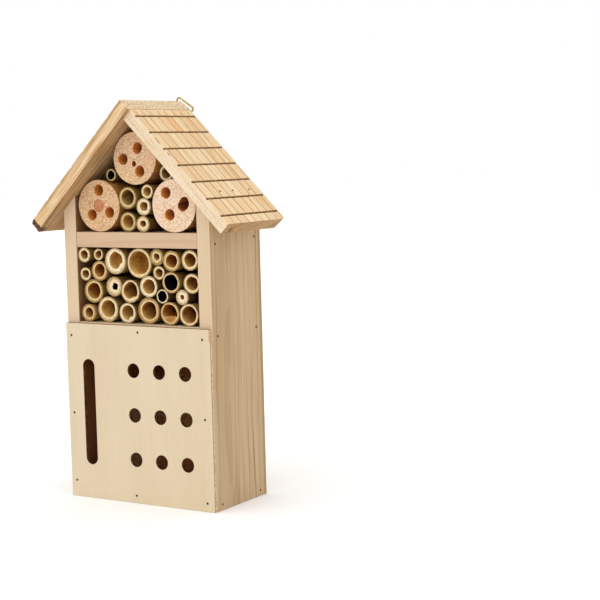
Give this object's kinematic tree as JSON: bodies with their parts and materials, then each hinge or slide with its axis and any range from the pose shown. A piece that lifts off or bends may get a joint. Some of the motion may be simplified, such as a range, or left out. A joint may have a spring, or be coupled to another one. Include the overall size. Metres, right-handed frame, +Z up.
{
  "type": "insect hotel",
  "caption": "Hanging wooden insect hotel: a gabled house with drilled logs, packed bamboo tubes, and closed chambers behind a front panel with a butterfly slot and round entrances.",
  "frame": {"origin": "middle of the whole object's outline in plan, on the ground under the house", "axes": "+Z is up, the front with the entrances faces -Y, and +X is to the right of someone facing the front"},
  "size_m": [0.1796, 0.0812, 0.3033],
  "materials": {
    "pine": "planed, raw",
    "plywood": "sanded, raw, with scorched cut edges",
    "log_wood": "sawn end grain with bark",
    "bamboo": "natural skin with sawn ends",
    "brass": "dull, slightly tarnished",
    "steel": "dull nail steel"
  },
  "bodies": {
    "house": {"left_side": "pine", "right_side": "pine", "bottom_board": "pine", "lower_shelf": "pine", "upper_shelf": "pine", "chamber_divider": "pine", "roof_board_left": "pine", "roof_board_right": "pine", "back_panel": "plywood", "front_panel": "plywood", "log_left": "log_wood", "log_right": "log_wood", "log_top": "log_wood", "bamboo_tube_01": "bamboo", "bamboo_tube_02": "bamboo", "bamboo_tube_03": "bamboo", "bamboo_tube_04": "bamboo", "bamboo_tube_05": "bamboo", "bamboo_tube_06": "bamboo", "bamboo_tube_07": "bamboo", "bamboo_tube_08": "bamboo", "bamboo_tube_09": "bamboo", "bamboo_tube_10": "bamboo", "bamboo_tube_11": "bamboo", "bamboo_tube_12": "bamboo", "bamboo_tube_13": "bamboo", "bamboo_tube_14": "bamboo", "bamboo_tube_15": "bamboo", "bamboo_tube_16": "bamboo", "bamboo_tube_17": "bamboo", "bamboo_tube_18": "bamboo", "bamboo_tube_19": "bamboo", "bamboo_tube_20": "bamboo", "bamboo_tube_21": "bamboo", "bamboo_tube_22": "bamboo", "bamboo_tube_23": "bamboo", "bamboo_tube_24": "bamboo", "bamboo_tube_25": "bamboo", "bamboo_tube_26": "bamboo", "bamboo_tube_27": "bamboo", "bamboo_tube_28": "bamboo", "bamboo_tube_29": "bamboo", "bamboo_tube_30": "bamboo", "bamboo_tube_31": "bamboo", "hanger_strap": "brass", "hanger_nail": "steel", "front_panel_nails": "steel", "left_side_nails": "steel", "right_side_nails": "steel", "back_panel_nails": "steel", "roof_left_nails": "steel", "roof_right_nails": "steel", "ridge_nails": "steel"},
    "ring": {"hanger_ring": "brass"}
  },
  "joints": [
    {"name": "ring_swing", "type": "hinge", "parent": "house", "child": "ring", "pos_m": [0, 0.03925, 0.29186], "axis": [-1, 0, 0], "range_deg": [0, 165]}
  ]
}
